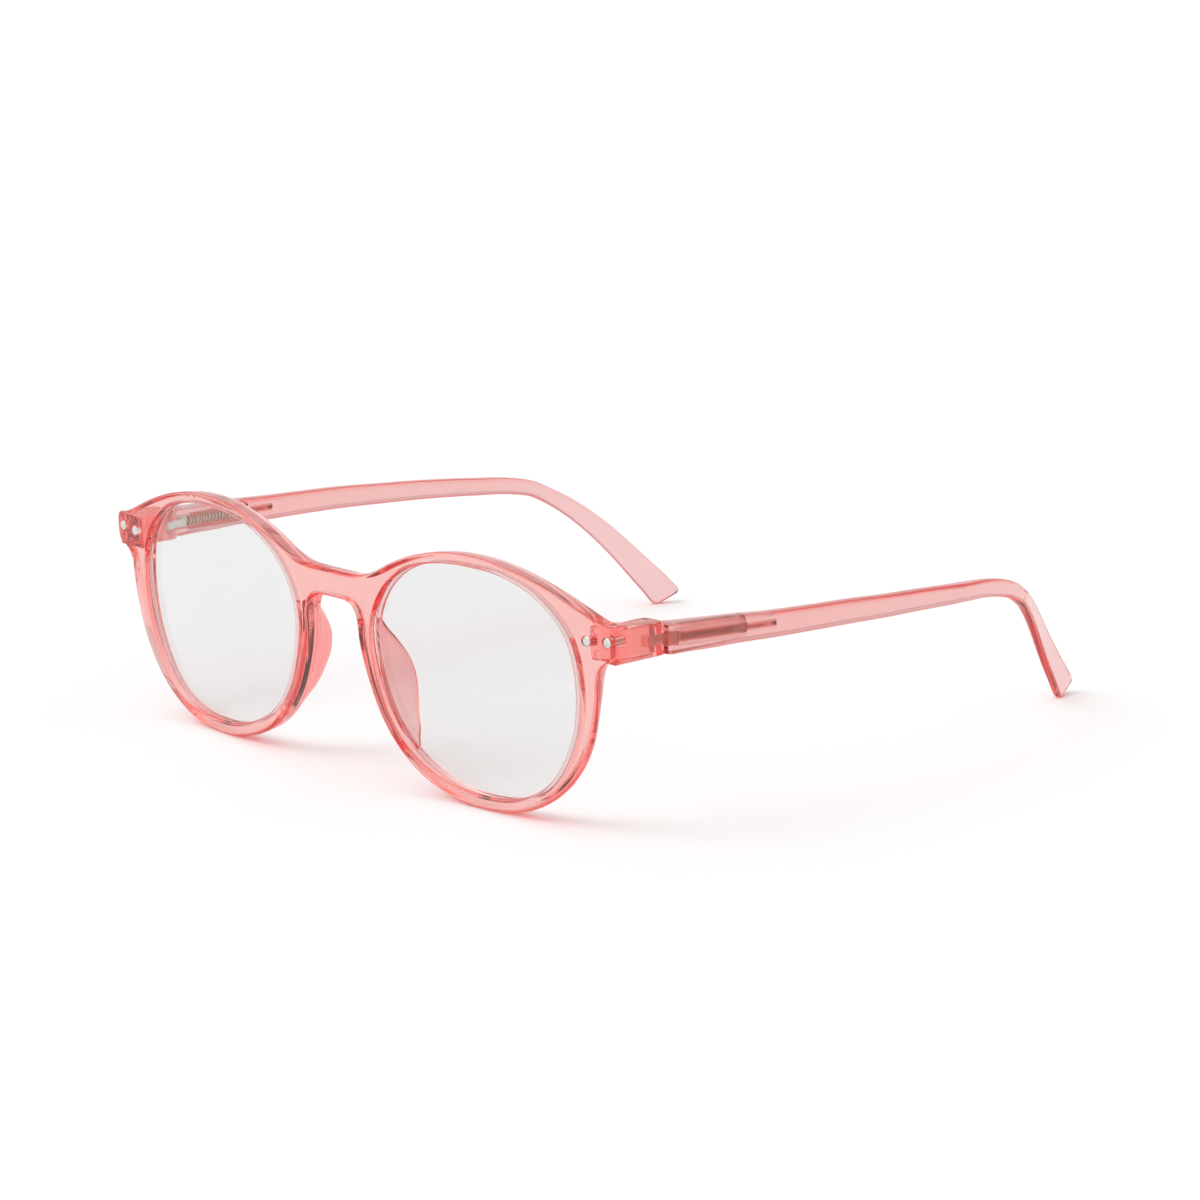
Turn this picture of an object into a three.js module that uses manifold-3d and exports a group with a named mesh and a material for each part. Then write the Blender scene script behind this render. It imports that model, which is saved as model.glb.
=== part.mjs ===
import * as THREE from 'three';
import Module from 'manifold-3d';

// ---------------------------------------------------------------------------
// Round-rim reading glasses with plunger spring hinges.
// Millimetres. +Z up, the front of the glasses faces -Y, +X is the wearer's
// left. The part stands on the two rim bottoms and the two temple tips.
// ---------------------------------------------------------------------------

// front moulding
const RIM_DEPTH = 4.0;            // depth of the rim, front face to back face
const FRONT_LEAN = 0.07;          // forward lean of the front, mm per mm of height
const WRAP_FLAT = 5;              // half width of the flat part over the bridge
const WRAP_K = 5.0 / (61 * 61);   // wrap curve: y = K * (|x| - WRAP_FLAT)^2
const EDGE_ROUND = 0.4;           // broken edges around the front face
// draft of the outer wall at the back face, by angle round the rim in degrees
const DRAFT = [
  [-90, 0], [-84, 0], [-74, 0.5], [-62, 1.1], [-50, 1.7], [-38, 2.2], [-25, 2.5], [-8, 2.5],
  [2, 2.1], [12, 1.2], [25, 0.4], [60, 0.3], [180, 0.3],
];
const BRIDGE_FLAT = 0.02;         // depth of the flat face across the bridge
const END_X = 67.5;               // outer face of the end pieces

// lens
const LENS_SETBACK = 1.2;         // lens front edge behind the front face
const LENS_EDGE = 1.8;            // lens edge thickness
const LENS_BITE = 0.5;            // lens edge past the opening, into the groove
const GROOVE_GAP = 0.15;          // clearance on each side of the lens edge
const LENS_BULGE = 0.8;           // forward bulge of the lens at its centre

// hinge
const AXIS_X = 64.4;              // fold axis
const AXIS_Y = 13.2;
const KNUCKLE_R = 1.7;
const SEAM_Y = 14.9;              // back face of the end-piece lug
const SEAM_GAP = 0.4;
const LUG_Z0 = 31.35;
const LUG_Z1 = 37.35;
const EYE_Z = 34.1;               // mid height of the hinge link
const EYE_R = 1.3;
const EYE_T = 1.5;
const PIN_R = 0.6;
const PIN_HOLE_R = 0.69;
const SLIDE_DX = 0.105;           // temple direction at the hinge
const SLIDE_DZ = -0.035;
const ROD_U = 0.95;               // rod offset outward from the fold axis
const ROD_R = 0.6;
const NECK_S0 = 1.0;
const NECK_S1 = 5.2;
const NECK_W = 1.5;
const NECK_H = 2.1;
const SPRING_S0 = 5.55;           // spring, measured along the temple from the axis
const SPRING_S1 = 17.2;
const SPRING_R = 1.05;            // coil centre radius
const WIRE_R = 0.24;
const SPRING_TURNS = 14;
const NUT_S0 = 17.45;
const NUT_S1 = 18.95;
const NUT_R = 1.25;
const TAIL_S1 = 25.6;
const CIRCLES = [[63.75, 37.0], [63.9, 32.9]];
const POCKET_S0 = 5.3;
const POCKET_S1 = 20.6;
const POCKET_H = 3.2;
const BORE_R = 0.85;
const BORE_S1 = 27.8;

// rivets (x, z on the front face)
const RIVETS = [[61.5, 34.9], [65.8, 35.2]];
const RIVET_R = 0.92;
const RIVET_HOLE_R = 1.07;
const RIVET_LEN = 3.0;

// outline of the right half of the front, from the bridge top round to the
// bridge underside; 'c' marks a corner that stays sharp
const OUTLINE = [
  [0, 38.0], [5, 38.05], [8.5, 38.4], [12, 39.6], [15.9, 41.6], [19, 43.0], [22.1, 44.15],
  [25.1, 45.0], [28.2, 45.7], [31.7, 46.15], [35.5, 46.25], [39.3, 46.1], [43.1, 45.6],
  [47.3, 44.7], [51.7, 43.4], [56.2, 41.75], [60.3, 40.0], [63, 38.85], [65.3, 38.05],
  [66.9, 37.8], [67.5, 37.2], [67.5, 32.6], [66.8, 31.9], [65.3, 31.3], [64.2, 30.4],
  [63.55, 29.0], [63.3, 27.2], [63.2, 25.0], [62.9, 22.5], [62.4, 19.8], [61.5, 16.6],
  [60.1, 13.4], [58.3, 10.5], [56.1, 7.8], [53.2, 5.2], [49.8, 3.0], [46.5, 1.5],
  [43.2, 0.6], [39.9, 0.15], [37.3, 0], [33.7, 0], [31.2, 0.25], [28.8, 0.75], [26, 1.5], [23, 2.6],
  [20.1, 4.1], [17.3, 6.1], [14.4, 8.9], [11.6, 12.7], [9.6, 16.8], [8.3, 20.4],
  [7.4, 23.9], [7.0, 26.5], [6.9, 28.8], [6.3, 30.8], [5.0, 32.2], [3.2, 32.7],
];
// lens opening, right side
const OPENING = [
  [36.4, 44.0], [40.9, 43.8], [44.8, 43.0], [48.2, 41.9], [51, 40.4], [53.2, 38.7],
  [55.1, 36.8], [56.6, 34.7], [57.5, 32.4], [58.1, 30], [58.4, 27.4], [58.5, 24.9],
  [58.3, 22], [57.8, 18.9], [56.8, 15.7], [55.4, 12.6], [53.6, 9.7], [51.3, 7.2],
  [48.5, 5.2], [45.2, 3.8], [41.4, 2.9], [37.4, 2.6], [33.4, 2.7], [29.4, 3.3],
  [25.6, 4.4], [22.1, 6.0], [19, 8.0], [16.3, 10.6], [14.2, 13.6], [12.7, 16.8],
  [11.6, 20], [10.9, 23], [10.5, 26], [10.6, 29], [11.4, 32], [12.9, 34.9],
  [15.1, 37.6], [17.9, 39.9], [21.2, 41.7], [24.8, 42.9], [28.5, 43.65], [32.4, 44.0],
];
// nose pad fin: [height, depth behind the front face, outer nasal x of the rim]
const PAD = [
  [6.4, 2.4, 17.0], [7.6, 4.2, 15.9], [9.2, 5.6, 14.1], [10.8, 6.6, 13.0], [12.4, 7.4, 11.8], [14, 8.1, 10.9],
  [15.8, 8.7, 10.05], [17.6, 9.2, 9.3], [19.4, 9.5, 8.65], [21.2, 9.4, 8.1], [23, 9.0, 7.6],
  [24.8, 8.1, 7.25], [26.6, 7.0, 7.05], [28.4, 5.7, 6.95], [30.2, 4.6, 6.9], [31.6, 3.2, 6.3],
];
const PAD_FLARE = 0.25;           // outward splay toward the back
const PAD_T = 1.7;
// temple: [y, outer x, mid height, section height, thickness]
const TEMPLE = [
  [15.3, 68.1, 34.0, 5.4, 3.7], [20, 68.55, 33.85, 5.25, 3.7], [26, 69.13, 33.58, 5.2, 3.7],
  [32, 69.72, 33.4, 4.98, 3.65], [40, 70.25, 32.95, 4.69, 3.5], [50, 70.61, 32.54, 4.49, 3.3],
  [60, 70.72, 32.13, 4.34, 3.2], [70, 70.49, 31.51, 4.11, 3.1], [80, 69.85, 30.94, 3.91, 3.05],
  [90, 68.93, 30.21, 3.7, 3.0], [96, 68.01, 29.72, 3.55, 3.0], [101, 67.19, 29.3, 3.46, 2.78],
  [105.5, 66.54, 28.65, 3.44, 2.58], [110, 66.06, 27.55, 3.36, 2.38], [114, 65.22, 25.59, 3.39, 2.2],
  [118, 63.53, 23.06, 3.75, 2.03], [122, 61.73, 19.84, 4.13, 1.9], [126, 59.97, 16.12, 4.62, 1.8],
  [130, 58.42, 11.97, 5.1, 1.75], [134, 57.15, 7.73, 5.71, 1.72], [136.6, 56.38, 5.08, 6.15, 1.7],
  [138.6, 55.85, 2.9, 6.5, 1.65],
];
const TIP_TWIST = 3;              // degrees, lower edge of the tip turned inward
const TIP_SLANT = 0.36;           // slope of the end cut, upper corner further back
const TIP_R = 1.9;                // corner radius of the squared tip

const wasm = await Module();
wasm.setup();
const { Manifold, Mesh: SolidMesh } = wasm;

// ------------------------------------------------------------------ helpers
function geo(positions, index) {
  const g = new THREE.BufferGeometry();
  g.setAttribute('position', new THREE.Float32BufferAttribute(positions, 3));
  g.setIndex(index);
  return g;
}
function solid(g) {
  const p = g.attributes.position;
  const idx = g.index ? Array.from(g.index.array) : [...Array(p.count).keys()];
  const m = new SolidMesh({
    numProp: 3,
    vertProperties: new Float32Array(p.array),
    triVerts: new Uint32Array(idx),
  });
  m.merge();
  let s = new Manifold(m);
  if (s.volume() < 0) {
    const flip = [];
    for (let i = 0; i < idx.length; i += 3) flip.push(idx[i], idx[i + 2], idx[i + 1]);
    const m2 = new SolidMesh({ numProp: 3, vertProperties: new Float32Array(p.array), triVerts: new Uint32Array(flip) });
    m2.merge();
    s = new Manifold(m2);
  }
  return s;
}
function plain(s) {
  const m = s.getMesh();
  const n = m.numProp;
  const pos = [];
  for (let i = 0; i < m.vertProperties.length; i += n) {
    pos.push(m.vertProperties[i], m.vertProperties[i + 1], m.vertProperties[i + 2]);
  }
  return geo(pos, Array.from(m.triVerts));
}
function mirrorX(g) {
  const h = g.clone();
  const p = h.attributes.position;
  for (let i = 0; i < p.count; i++) p.setX(i, -p.getX(i));
  const a = h.index.array;
  for (let i = 0; i < a.length; i += 3) { const t = a[i + 1]; a[i + 1] = a[i + 2]; a[i + 2] = t; }
  return h;
}
// flat polygon [[a, b], ...] extruded along c; place(a, b, c) gives x, y, z
function prism(poly, c0, c1, place) {
  const pts = poly.map(([a, b]) => new THREE.Vector2(a, b));
  if (THREE.ShapeUtils.isClockWise(pts)) pts.reverse();
  const tri = THREE.ShapeUtils.triangulateShape(pts, []);
  const n = pts.length;
  const pos = [];
  for (const c of [c0, c1]) for (const p of pts) pos.push(...place(p.x, p.y, c));
  const idx = [];
  for (const [a, b, c] of tri) { idx.push(a, c, b); idx.push(a + n, b + n, c + n); }
  for (let i = 0; i < n; i++) {
    const j = (i + 1) % n;
    idx.push(i, j, j + n, i, j + n, i + n);
  }
  return geo(pos, idx);
}
// closed rings of equal length joined in order, capped at both ends
function loft(rings) {
  const n = rings[0].length;
  const pos = [];
  const idx = [];
  for (const r of rings) for (const p of r) pos.push(...p);
  for (let k = 0; k + 1 < rings.length; k++) {
    for (let i = 0; i < n; i++) {
      const j = (i + 1) % n;
      const a = k * n + i, b = k * n + j, c = (k + 1) * n + j, d = (k + 1) * n + i;
      idx.push(a, b, c, a, c, d);
    }
  }
  const cap = (k, flip) => {
    const r = rings[k];
    const m = [0, 1, 2].map((q) => r.reduce((s, p) => s + p[q], 0) / n);
    const ci = pos.length / 3;
    pos.push(...m);
    for (let i = 0; i < n; i++) {
      const j = (i + 1) % n;
      if (flip) idx.push(ci, k * n + j, k * n + i); else idx.push(ci, k * n + i, k * n + j);
    }
  };
  cap(0, true);
  cap(rings.length - 1, false);
  return geo(pos, idx);
}
// solid of revolution: profile [[radius, along], ...] from axis to axis
function turned(profile, segs, place) {
  const rings = profile.slice(1, -1);
  const pos = [];
  const idx = [];
  const first = profile[0], last = profile[profile.length - 1];
  for (const [r, s] of rings) {
    for (let i = 0; i < segs; i++) {
      const t = (i / segs) * Math.PI * 2;
      pos.push(...place(r * Math.cos(t), r * Math.sin(t), s));
    }
  }
  for (let k = 0; k + 1 < rings.length; k++) {
    for (let i = 0; i < segs; i++) {
      const j = (i + 1) % segs;
      const a = k * segs + i, b = k * segs + j, c = (k + 1) * segs + j, d = (k + 1) * segs + i;
      idx.push(a, b, c, a, c, d);
    }
  }
  const a0 = pos.length / 3;
  pos.push(...place(0, 0, first[1]));
  pos.push(...place(0, 0, last[1]));
  const e = (rings.length - 1) * segs;
  for (let i = 0; i < segs; i++) {
    const j = (i + 1) % segs;
    idx.push(a0, j, i);
    idx.push(a0 + 1, e + i, e + j);
  }
  return geo(pos, idx);
}
const rodOf = (r, s0, s1, segs, place) => turned([[0, s0], [r, s0], [r, s1], [0, s1]], segs, place);
const upright = (x, y) => (a, b, s) => [x + a, y + b, s];

// ------------------------------------------------------------- front surface
const frontY = (x, z) => {
  const a = Math.max(0, Math.abs(x) - WRAP_FLAT);
  return WRAP_K * a * a - FRONT_LEAN * z;
};
function normals(poly, closed = true) {
  const n = poly.length;
  return poly.map((p, i) => {
    const a = poly[(i - 1 + n) % n], b = poly[(i + 1) % n];
    const dx = b[0] - a[0], dz = b[1] - a[1];
    const l = Math.hypot(dx, dz) || 1;
    return [dz / l, -dx / l];
  });
}
// outward offset of a closed loop (loops run counter-clockwise)
function ccw(poly) {
  let s = 0;
  for (let i = 0; i < poly.length; i++) {
    const a = poly[i], b = poly[(i + 1) % poly.length];
    s += a[0] * b[1] - b[0] * a[1];
  }
  return s < 0 ? poly.slice().reverse() : poly.slice();
}
function grow(poly, d) {
  const nn = normals(poly);
  return poly.map((p, i) => [p[0] + nn[i][0] * d, p[1] + nn[i][1] * d]);
}
// the same, fading out over the end pieces, where the outline turns tightly
function growFaded(poly, d0, share) {
  const nn = normals(poly);
  return poly.map((p, i) => {
    const d = d0 - share * draft(p[0], p[1]);
    const f = 1 - 0.75 * Math.min(1, Math.max(0, (Math.abs(p[0]) - 63.6) / 2));
    return [p[0] + nn[i][0] * d * f, p[1] + nn[i][1] * d * f];
  });
}
const half = OUTLINE;
const outline = ccw([
  ...half,
  [0, 32.75],
  ...half.slice(1).reverse().map(([x, z]) => [-x, z]),
]);
const openR = ccw(OPENING);
const openL = ccw(OPENING.map(([x, z]) => [-x, z]));

// draft of the outer wall at one outline point, per unit of depth share
function draft(x, z) {
  const a = (Math.atan2(z - 24, Math.abs(x) - 35) * 180) / Math.PI;
  if (a < -90) return 0.3 * Math.min(1, Math.max(0, (-a - 96) / 14));
  for (let i = 1; i < DRAFT.length; i++) {
    const [a0, d0] = DRAFT[i - 1], [a1, d1] = DRAFT[i];
    if (a <= a1) return d0 + ((d1 - d0) * (a - a0)) / (a1 - a0);
  }
  return 0.3;
}
// layers of the front: [depth, fixed outer offset, share of the draft, opening offset]
const LAYERS = [
  [0, -EDGE_ROUND, 0, EDGE_ROUND * 0.75],
  [EDGE_ROUND, 0, 0, 0],
  [1.7, 0, 0.2, 0],
  [RIM_DEPTH - 0.6, 0, 0.78, 0],
  [RIM_DEPTH, -0.4, 1, 0.35],
];
function layered(outer, holes, layers) {
  const n = outer.length;
  const hn = holes.map((h) => h.length);
  const per = n + hn.reduce((a, b) => a + b, 0);
  const pos = [];
  const idx = [];
  const flats = [];
  for (const [d, oo, share, ho] of layers) {
    const o = growFaded(outer, oo, share);
    const hs = holes.map((h) => grow(h, ho));
    flats.push([o, hs]);
    for (const p of [o, ...hs].flat()) pos.push(p[0], frontY(p[0], p[1]) + d, p[1]);
  }
  for (let k = 0; k + 1 < layers.length; k++) {
    const A = k * per, B = (k + 1) * per;
    for (let i = 0; i < n; i++) {
      const j = (i + 1) % n;
      idx.push(A + i, B + j, A + j, A + i, B + i, B + j);
    }
    let off = n;
    for (const m of hn) {
      for (let i = 0; i < m; i++) {
        const j = (i + 1) % m;
        idx.push(A + off + i, A + off + j, B + off + j, A + off + i, B + off + j, B + off + i);
      }
      off += m;
    }
  }
  const cap = (k, flip) => {
    const [o, hs] = flats[k];
    const tri = THREE.ShapeUtils.triangulateShape(
      o.map((p) => new THREE.Vector2(...p)),
      hs.map((h) => h.map((p) => new THREE.Vector2(...p))),
    );
    for (const [a, b, c] of tri) {
      if (flip) idx.push(k * per + a, k * per + c, k * per + b);
      else idx.push(k * per + a, k * per + b, k * per + c);
    }
  };
  cap(0, false);
  cap(layers.length - 1, true);
  return geo(pos, idx);
}

// triangulateShape wants holes wound the other way round, with the same
// vertex order as the rings built here
const plateGeo = layered(outline, [openR, openL], LAYERS);
let front = solid(plateGeo);

// ------------------------------------------------------------------ end lugs
function lug() {
  const poly = [[60.4, 3.4], [60.4, 6.0], [61.3, 7.4], [62.7, 9.2]];
  for (let i = 0; i <= 8; i++) {
    const t = Math.PI - (i / 8) * Math.PI / 2;
    poly.push([AXIS_X + KNUCKLE_R * Math.cos(t), AXIS_Y + KNUCKLE_R * Math.sin(t)]);
  }
  poly.push([END_X - 0.35, SEAM_Y], [END_X, SEAM_Y - 0.35], [END_X, 3.4]);
  poly.reverse();
  const c = 0.35;
  const rings = [];
  const inset = (p, d) => {
    const cx = 64.6, cy = 9;
    return [p[0] + Math.sign(cx - p[0]) * Math.min(d, Math.abs(cx - p[0])), p[1] + (p[1] > cy ? -d : 0)];
  };
  for (const [z, d] of [[LUG_Z0, c], [LUG_Z0 + c, 0], [LUG_Z1 - c, 0], [LUG_Z1, c]]) {
    rings.push(poly.map((p) => { const q = inset(p, d); return [q[0], q[1], z]; }));
  }
  return rings;
}
function lugSolid() {
  const rings = lug();
  // caps need a proper triangulation because the outline is not convex
  const n = rings[0].length;
  const pos = rings.flat(2);
  const idx = [];
  for (let k = 0; k + 1 < rings.length; k++) {
    for (let i = 0; i < n; i++) {
      const j = (i + 1) % n;
      const a = k * n + i, b = k * n + j, c = (k + 1) * n + j, d = (k + 1) * n + i;
      idx.push(a, b, c, a, c, d);
    }
  }
  for (const [k, flip] of [[0, true], [rings.length - 1, false]]) {
    const pts = rings[k].map((p) => new THREE.Vector2(p[0], p[1]));
    for (const [a, b, c] of THREE.ShapeUtils.triangulateShape(pts, [])) {
      if (flip) idx.push(k * n + a, k * n + c, k * n + b);
      else idx.push(k * n + a, k * n + b, k * n + c);
    }
  }
  return geo(pos, idx);
}
const lugGeo = lugSolid();

// ----------------------------------------------------------------- nose pads
function padGeo() {
  const rings = [];
  for (const [z, depth, xn] of PAD) {
    const y0 = frontY(xn, z);
    const d0 = Math.min(1.2, depth - 1.0);
    const r = PAD_T / 2;
    const nose = (d) => xn + 0.35 + PAD_FLARE * d;
    const ring = [];
    const seq = [[d0, 0], [depth * 0.5 + d0 * 0.5, 0], [depth - r, 0]];
    for (const [d] of seq) ring.push([nose(d), y0 + d, z]);
    for (let i = 1; i < 5; i++) {
      const t = (i / 5) * Math.PI;
      const d = depth - r + r * Math.sin(t);
      ring.push([nose(depth - r) + r - r * Math.cos(t) + PAD_FLARE * (d - depth + r), y0 + d, z]);
    }
    for (const [d] of seq.slice().reverse()) ring.push([nose(d) + PAD_T, y0 + d, z]);
    rings.push(ring);
  }
  return loft(rings);
}
const pad = padGeo();

// the front of the bridge is one flat, on the plane of the lean
front = front.subtract(solid(prism([[-12, 30], [12, 30], [12, 40], [-12, 40]], -2, BRIDGE_FLAT, (x, z, d) => [x, d - FRONT_LEAN * z, z])));

for (const g of [lugGeo, pad]) {
  front = front.add(solid(g)).add(solid(mirrorX(g)));
}

// -------------------------------------------------------------------- lenses
function lensGeo(loop, edgeOut, d0, d1, bulge, rings = 5) {
  const outer = grow(loop, edgeOut);
  const n = outer.length;
  const cx = outer.reduce((s, p) => s + p[0], 0) / n;
  const cz = outer.reduce((s, p) => s + p[1], 0) / n;
  const pos = [];
  const idx = [];
  for (const d of [d0, d1]) {
    for (let k = 0; k < rings; k++) {
      const f = 1 - k / rings;
      for (const p of outer) {
        const x = cx + (p[0] - cx) * f, z = cz + (p[1] - cz) * f;
        pos.push(x, frontY(x, z) + d - bulge * (1 - f * f), z);
      }
    }
    pos.push(cx, frontY(cx, cz) + d - bulge, cz);
  }
  const per = rings * n + 1;
  for (let s = 0; s < 2; s++) {
    const B = s * per;
    for (let k = 0; k + 1 < rings; k++) {
      for (let i = 0; i < n; i++) {
        const j = (i + 1) % n;
        const a = B + k * n + i, b = B + k * n + j, c = B + (k + 1) * n + j, d = B + (k + 1) * n + i;
        if (s === 0) idx.push(a, b, c, a, c, d); else idx.push(a, c, b, a, d, c);
      }
    }
    for (let i = 0; i < n; i++) {
      const j = (i + 1) % n;
      const a = B + (rings - 1) * n + i, b = B + (rings - 1) * n + j, c = B + rings * n;
      if (s === 0) idx.push(a, b, c); else idx.push(a, c, b);
    }
  }
  for (let i = 0; i < n; i++) {
    const j = (i + 1) % n;
    idx.push(i, per + i, per + j, i, per + j, j);
  }
  return geo(pos, idx);
}
const lensR = lensGeo(openR, LENS_BITE, LENS_SETBACK, LENS_SETBACK + LENS_EDGE, LENS_BULGE);
const lensL = mirrorX(lensR);
const grooveR = lensGeo(openR, LENS_BITE + 0.2, LENS_SETBACK - GROOVE_GAP, LENS_SETBACK + LENS_EDGE + GROOVE_GAP, LENS_BULGE);
front = front.subtract(solid(grooveR)).subtract(solid(mirrorX(grooveR)));

// ---------------------------------------------------- holes in the end pieces
function hingeCuts() {
  const cuts = [];
  // slot for the link, open to the back and to the inner side
  const w = EYE_T / 2 + 0.25;
  const slot = [[60, 11.4], [66.2, 11.4], [66.2, 16.5], [60, 16.5]];
  cuts.push(prism(slot, EYE_Z - w, EYE_Z + w, (a, b, c) => [a, b, c]));
  // screw: shank hole and head recess, one stepped bore, blind at the bottom
  cuts.push(turned([[0, 31.75], [PIN_HOLE_R, 31.75], [PIN_HOLE_R, 36.35], [1.15, 36.35], [1.15, 38], [0, 38]], 20, upright(AXIS_X, AXIS_Y)));
  for (const [x, z] of RIVETS) {
    const y = frontY(x, z);
    cuts.push(turned([[0, y - 1], [RIVET_HOLE_R, y - 1], [RIVET_HOLE_R, y + RIVET_LEN + 0.2], [0, y + RIVET_LEN + 0.2]], 16,
      (a, b, s) => [x + a, s, z - b]));
  }
  // shallow moulded circles on the face of the end piece
  for (const [x, z] of CIRCLES) {
    const y = frontY(x, z);
    cuts.push(turned([[0, y - 1], [0.8, y - 1], [0.8, y + 0.1], [0, y + 0.1]], 16, (a, b, s) => [x + a, s, z - b]));
  }
  return cuts;
}
for (const g of hingeCuts()) {
  front = front.subtract(solid(g)).subtract(solid(mirrorX(g)));
}

// ------------------------------------------------- hinge frame along the temple
const eS = new THREE.Vector3(SLIDE_DX, 1, SLIDE_DZ).normalize();
const eU = new THREE.Vector3(1, -SLIDE_DX, 0).normalize();
const eW = new THREE.Vector3().crossVectors(eU, eS).normalize();
const at = (u, w, s) => [
  AXIS_X + eU.x * u + eS.x * s + eW.x * w,
  AXIS_Y + eU.y * u + eS.y * s + eW.y * w,
  EYE_Z + eU.z * u + eS.z * s + eW.z * w,
];
const rodAt = (a, b, s) => at(ROD_U + b, a, s);

// link: flat eye, square neck, round rod, threaded tail
function linkSolid() {
  const eye = rodOf(EYE_R, EYE_Z - EYE_T / 2, EYE_Z + EYE_T / 2, 24, upright(AXIS_X, AXIS_Y));
  // flat web from the eye toward the neck
  const web = prism([[-0.7, 0], [0.75, 0], [0.75, 2.2], [1.6, 3.0], [1.6, NECK_S1], [0.3, NECK_S1], [-0.45, 3.2], [-0.7, 2.2]],
    -EYE_T / 2, EYE_T / 2, (u, s, w) => at(u, w, s));
  const neck = prism([[ROD_U - NECK_W / 2, 2.9], [ROD_U + NECK_W / 2, 2.9], [ROD_U + NECK_W / 2, NECK_S1], [ROD_U - NECK_W / 2, NECK_S1]],
    -NECK_H / 2, NECK_H / 2, (u, s, w) => at(u, w, s));
  const prof = [[0, NECK_S1 - 0.6], [ROD_R, NECK_S1 - 0.6], [ROD_R, NUT_S0 - 0.3]];
  // thread ridges
  const pitch = 0.55;
  let s = NUT_S0 - 0.3;
  while (s + pitch < TAIL_S1 - 0.4) {
    prof.push([0.47, s + pitch * 0.5], [ROD_R, s + pitch]);
    s += pitch;
  }
  prof.push([0.35, TAIL_S1], [0, TAIL_S1]);
  const rod = turned(prof, 12, rodAt);
  const hole = rodOf(PIN_HOLE_R, EYE_Z - 2, EYE_Z + 2, 20, upright(AXIS_X, AXIS_Y));
  return solid(eye).add(solid(web)).add(solid(neck)).add(solid(rod)).subtract(solid(hole));
}
const link = plain(linkSolid());

// coil spring round the rod
function springGeo() {
  const steps = SPRING_TURNS * 10;
  const sides = 5;
  const rings = [];
  const s0 = SPRING_S0 + WIRE_R, s1 = SPRING_S1 - WIRE_R;
  const turns = SPRING_TURNS;
  const pt = (t) => {
    const a = t * turns * Math.PI * 2;
    return new THREE.Vector3(SPRING_R * Math.cos(a), SPRING_R * Math.sin(a), s0 + (s1 - s0) * t);
  };
  for (let i = 0; i <= steps; i++) {
    const t = i / steps;
    const p = pt(t);
    const tan = pt(t + 1e-4).sub(pt(t - 1e-4)).normalize();
    const rad = new THREE.Vector3(p.x, p.y, 0).normalize();
    const up = new THREE.Vector3().crossVectors(tan, rad).normalize();
    const ring = [];
    for (let k = 0; k < sides; k++) {
      const q = (k / sides) * Math.PI * 2;
      const v = p.clone().addScaledVector(rad, WIRE_R * Math.cos(q)).addScaledVector(up, WIRE_R * Math.sin(q));
      ring.push(rodAt(v.x, v.y, v.z));
    }
    rings.push(ring);
  }
  return loft(rings);
}
const spring = plain(solid(springGeo()));

// nut on the tail
function nutSolid() {
  const hex = [];
  for (let i = 0; i < 6; i++) hex.push([NUT_R * Math.cos((i * Math.PI) / 3), NUT_R * Math.sin((i * Math.PI) / 3)]);
  const body = prism(hex, NUT_S0, NUT_S1, rodAt);
  const bore = rodOf(0.74, NUT_S0 - 1, NUT_S1 + 1, 16, rodAt);
  return solid(body).subtract(solid(bore));
}
const nut = plain(nutSolid());

// screw: countersunk head with a slot, plain shank
function screwSolid() {
  const body = turned([[0, 32.0], [PIN_R - 0.1, 32.0], [PIN_R, 32.15], [PIN_R, 36.5], [1.0, 36.6], [1.0, 37.15], [0.85, 37.25], [0, 37.25]], 20, upright(AXIS_X, AXIS_Y));
  const slot = prism([[AXIS_X - 1.5, AXIS_Y - 0.14], [AXIS_X + 1.5, AXIS_Y - 0.14], [AXIS_X + 1.5, AXIS_Y + 0.14], [AXIS_X - 1.5, AXIS_Y + 0.14]],
    36.95, 38, (a, b, c) => [a, b, c]);
  return solid(body).subtract(solid(slot));
}
const screw = plain(screwSolid());

// rivets: flush domed pins
function rivetGeo([x, z]) {
  const y = frontY(x, z);
  return turned([[0, y - 0.12], [RIVET_R * 0.55, y - 0.08], [RIVET_R, y + 0.12], [RIVET_R, y + RIVET_LEN], [0, y + RIVET_LEN]], 16,
    (a, b, s) => [x + a, s, z - b]);
}

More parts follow.
